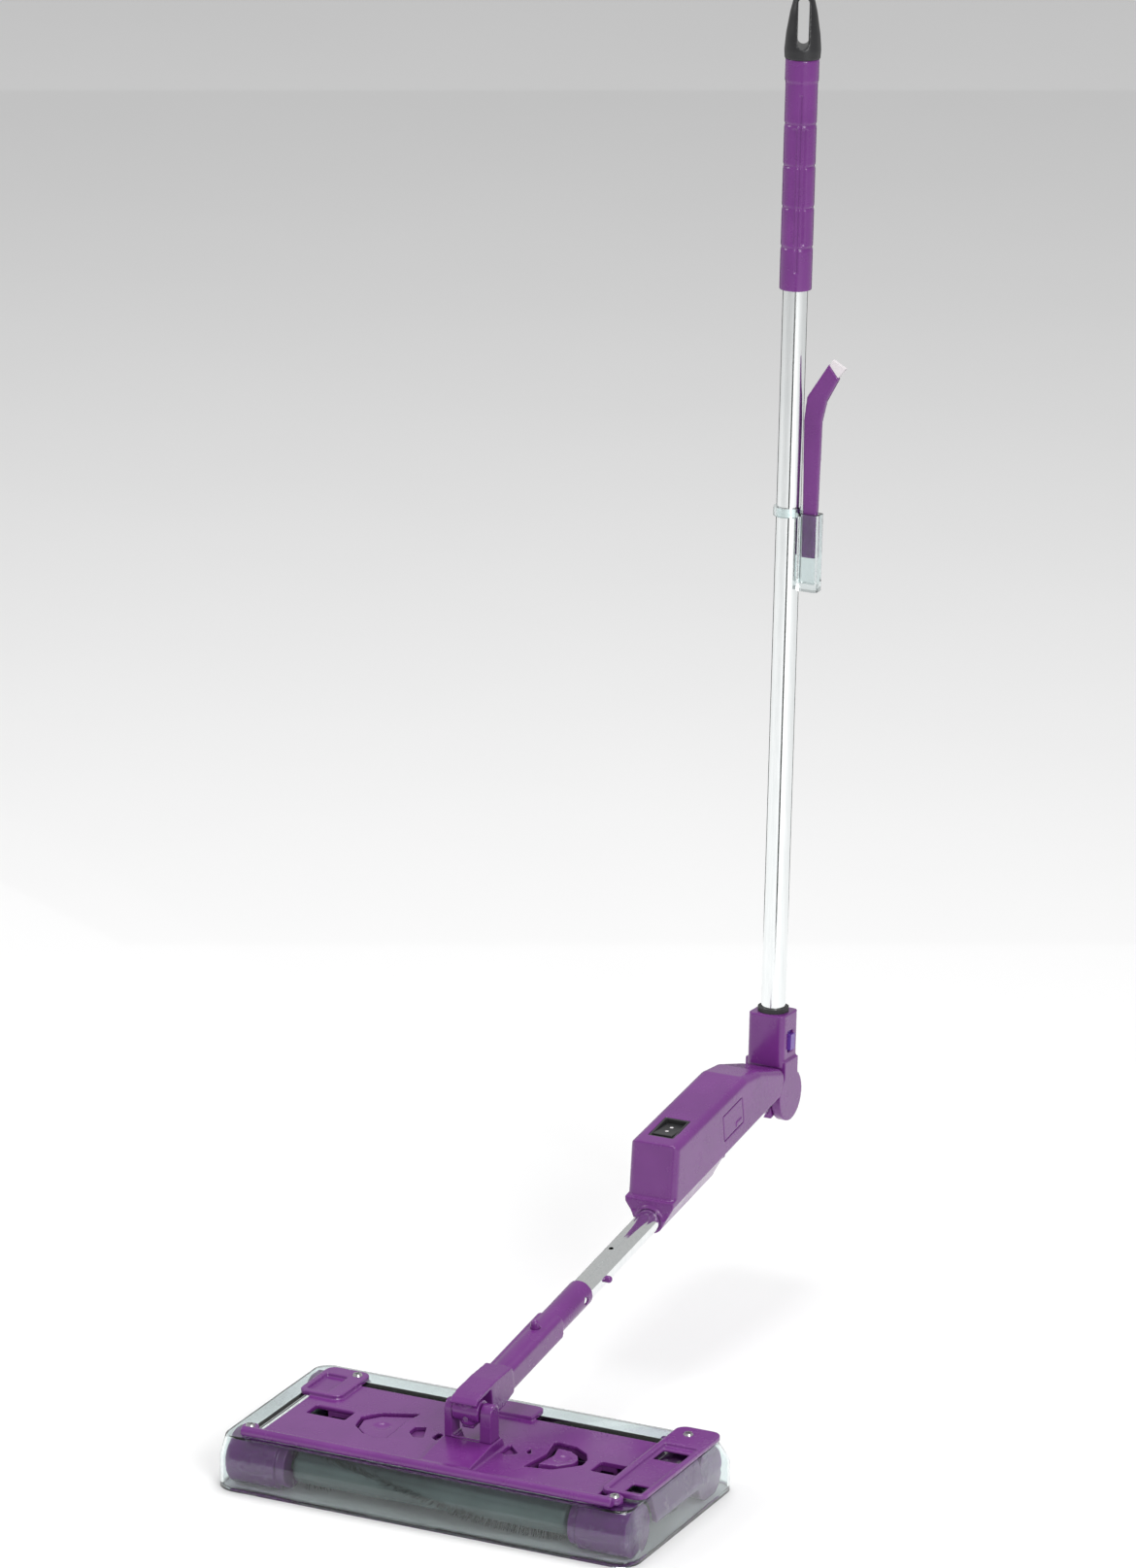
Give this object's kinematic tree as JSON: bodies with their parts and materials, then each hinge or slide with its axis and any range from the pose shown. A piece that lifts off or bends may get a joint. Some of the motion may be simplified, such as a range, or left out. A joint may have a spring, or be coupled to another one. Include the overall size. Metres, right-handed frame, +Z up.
{
  "type": "carpet sweeper",
  "caption": "Cordless swivel carpet sweeper: low head with edge brushes under a clear cover, hinged neck with battery case, and a straight pole with grip and cleaning comb.",
  "frame": {"origin": "on the floor under the head's centre, in the plane of the clear cover's bottom rim", "axes": "+X along the head, to the right as seen by someone in front of it; +Y to the back, where the neck leans; +Z up"},
  "size_m": [0.29, 0.5335, 0.86],
  "materials": {
    "clear": "clear gloss",
    "purple": "gloss",
    "black": "gloss",
    "black_matte": "matte",
    "tube": "polished",
    "steel": "plain",
    "core": "satin",
    "bristle": "matte",
    "tray": "matte",
    "latch": "gloss",
    "tip": "translucent",
    "pack": "shrink sleeve",
    "wheel": "matte"
  },
  "bodies": {
    "head": {"skirt_cover": "clear", "deck": "purple", "end_bridge": "purple", "gear_housing_fl": "purple", "gear_housing_fr": "purple", "gear_housing_rl": "purple", "gear_housing_rr": "purple", "tray_frame": "tray", "dust_door_left_pin": "steel", "dust_door_right_pin": "steel", "motor": "steel", "wheel_axles": "steel", "deck_screws": "steel", "swivel_bracket": "purple", "tilt_pins": "steel"},
    "door_left": {"dust_door_left": "tray"},
    "door_right": {"dust_door_right": "tray"},
    "roller_front": {"wheel_front": "wheel"},
    "roller_rear": {"wheel_rear": "wheel"},
    "brush_front": {"brush_front_core": "core", "brush_front_tufts": "bristle"},
    "brush_rear": {"brush_rear_core": "core", "brush_rear_tufts": "bristle"},
    "brush_left": {"brush_left_core": "core", "brush_left_tufts": "bristle"},
    "brush_right": {"brush_right_core": "core", "brush_right_tufts": "bristle"},
    "button_left": {"bin_button_left": "purple"},
    "button_right": {"bin_button_right": "purple"},
    "block": {"swivel_block": "purple", "block_screw": "steel"},
    "neck": {"neck_yoke": "purple", "yoke_pin": "steel", "neck_tube": "tube", "battery_case": "purple", "battery_pack": "pack", "switch_bezel": "black_matte", "elbow_knuckle": "purple", "elbow_pin": "steel"},
    "knob": {"neck_knob": "purple"},
    "snap": {"neck_snap": "purple"},
    "cover": {"battery_cover": "purple"},
    "rocker": {"rocker_switch": "black"},
    "pole": {"elbow_socket": "purple", "pole_tube_lower": "tube", "pole_tube_upper": "tube", "socket_ring": "black_matte", "joint_spigot": "tray", "grip": "purple", "end_cap": "black", "comb_holder": "clear"},
    "latch": {"latch_button": "latch"},
    "comb": {"comb_handle": "purple", "comb_tip": "tip"}
  },
  "joints": [
    {"name": "neck_tilt", "type": "hinge", "parent": "head", "child": "block", "pos_m": [0.008, -0.02199, 0.06121], "axis": [1, 0, 0], "range_deg": [-6, 80]},
    {"name": "neck_swing", "type": "hinge", "parent": "block", "child": "neck", "pos_m": [0.008, -0.02199, 0.06121], "axis": [0, -0.1495, 0.9888], "range_deg": [-28, 28]},
    {"name": "elbow_fold", "type": "hinge", "parent": "neck", "child": "pole", "pos_m": [0.008, 0.41098, 0.12669], "axis": [1, 0, 0], "range_deg": [-78.4, 0]},
    {"name": "door_left_open", "type": "hinge", "parent": "head", "child": "door_left", "pos_m": [-0.0242, 0, 0.0076], "axis": [0, 1, 0], "range_deg": [-75, 0]},
    {"name": "door_right_open", "type": "hinge", "parent": "head", "child": "door_right", "pos_m": [0.0242, 0, 0.0076], "axis": [0, 1, 0], "range_deg": [0, 75]},
    {"name": "roller_front_spin", "type": "hinge", "parent": "head", "child": "roller_front", "pos_m": [0, -0.022, 0.006], "axis": [1, 0, 0], "continuous": true},
    {"name": "roller_rear_spin", "type": "hinge", "parent": "head", "child": "roller_rear", "pos_m": [0, 0.017, 0.006], "axis": [1, 0, 0], "continuous": true},
    {"name": "brush_front_spin", "type": "hinge", "parent": "head", "child": "brush_front", "pos_m": [0, -0.053, 0.0164], "axis": [1, 0, 0], "continuous": true},
    {"name": "brush_rear_spin", "type": "hinge", "parent": "head", "child": "brush_rear", "pos_m": [0, 0.048, 0.0164], "axis": [1, 0, 0], "continuous": true},
    {"name": "brush_left_spin", "type": "hinge", "parent": "head", "child": "brush_left", "pos_m": [-0.122, 0, 0.0164], "axis": [0, 1, 0], "continuous": true},
    {"name": "brush_right_spin", "type": "hinge", "parent": "head", "child": "brush_right", "pos_m": [0.122, 0, 0.0164], "axis": [0, 1, 0], "continuous": true},
    {"name": "bin_button_left_press", "type": "slide", "parent": "head", "child": "button_left", "axis": [0, 0, 1], "range_m": [-0.0025, 0], "stiffness_N_per_m": 300},
    {"name": "bin_button_right_press", "type": "slide", "parent": "head", "child": "button_right", "axis": [0, 0, 1], "range_m": [-0.0025, 0], "stiffness_N_per_m": 300},
    {"name": "neck_knob_press", "type": "slide", "parent": "neck", "child": "knob", "axis": [0, -0.1495, 0.9888], "range_m": [-0.0025, 0], "stiffness_N_per_m": 300},
    {"name": "neck_snap_press", "type": "slide", "parent": "neck", "child": "snap", "axis": [1, 0, 0], "range_m": [-0.002, 0], "stiffness_N_per_m": 300},
    {"name": "battery_cover_off", "type": "slide", "parent": "neck", "child": "cover", "axis": [1, 0, 0], "range_m": [0, 0.03]},
    {"name": "power_rocker", "type": "hinge", "parent": "neck", "child": "rocker", "pos_m": [0.008, 0.25906, 0.14822], "axis": [1, 0, 0], "range_deg": [0, 12]},
    {"name": "pole_latch_press", "type": "slide", "parent": "pole", "child": "latch", "axis": [1, 0, 0], "range_m": [-0.001, 0], "stiffness_N_per_m": 400},
    {"name": "comb_pull", "type": "slide", "parent": "pole", "child": "comb", "axis": [0, 0.0515, 0.9987], "range_m": [0, 0.05]}
  ],
  "couplings": [
    {"joint": "brush_rear_spin", "follows": "brush_front_spin", "ratio": -1},
    {"joint": "brush_left_spin", "follows": "brush_front_spin", "ratio": 1},
    {"joint": "brush_right_spin", "follows": "brush_front_spin", "ratio": -1}
  ]
}
